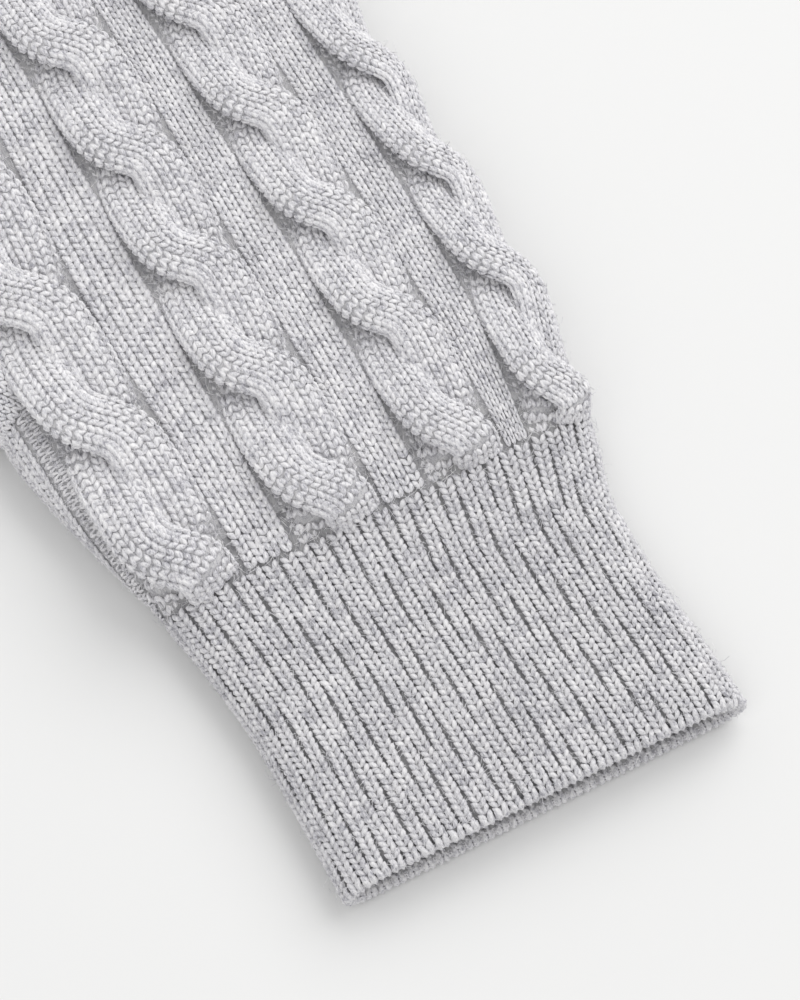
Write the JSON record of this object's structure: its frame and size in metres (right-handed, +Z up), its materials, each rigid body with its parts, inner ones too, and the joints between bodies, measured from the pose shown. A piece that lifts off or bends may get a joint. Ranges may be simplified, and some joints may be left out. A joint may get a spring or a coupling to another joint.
{
  "type": "knitted mitten",
  "caption": "Cable-knit mitten for the right hand with a ribbed cuff, a plain palm, a gusset and a separate thumb, lying palm down.",
  "frame": {"origin": "on the surface that the mitten lies on, under the middle of its outline", "axes": "+Y from the cuff to the fingertips, +X from the thumb side to the outer side, +Z up out of the back of the hand"},
  "size_m": [0.1438, 0.255, 0.0205],
  "materials": {
    "knit": "soft brushed heather-grey plain knit",
    "cable": "soft brushed heather-grey cable knit",
    "rib": "soft brushed heather-grey one-by-one rib",
    "seam": "heather-grey linking yarn"
  },
  "bodies": {
    "hand": {"back_panel": "knit", "palm_panel": "knit", "cable_1_strand_a": "cable", "cable_1_strand_b": "cable", "cable_2_strand_a": "cable", "cable_2_strand_b": "cable", "cable_3_strand_a": "cable", "cable_3_strand_b": "cable", "cable_4_strand_a": "cable", "cable_4_strand_b": "cable", "outer_side_seam": "seam", "thumb_side_seam_lower": "seam", "thumb_side_seam_upper": "seam", "thumb_gusset": "knit", "fingertip_closure": "seam", "wrist_join_course": "knit", "thumb_join_course": "knit"},
    "cuff": {"cuff_back_rib": "rib", "cuff_palm_rib": "rib", "cuff_outer_seam": "seam", "cuff_thumb_side_seam": "seam", "hem_edge": "rib"},
    "thumb": {"thumb_tube": "knit", "thumb_tip_closure": "seam"}
  },
  "joints": [
    {"name": "wrist_bend", "type": "hinge", "parent": "hand", "child": "cuff", "pos_m": [0.02555, -0.07045, 0.00498], "axis": [1, 0, 0], "range_deg": [-35, 35], "deforming": ["wrist_join_course"]},
    {"name": "thumb_swing", "type": "hinge", "parent": "hand", "child": "thumb", "pos_m": [-0.03915, 0.00498, 0.0062], "axis": [0, 0, 1], "range_deg": [-9, 18], "deforming": ["thumb_join_course"]}
  ]
}
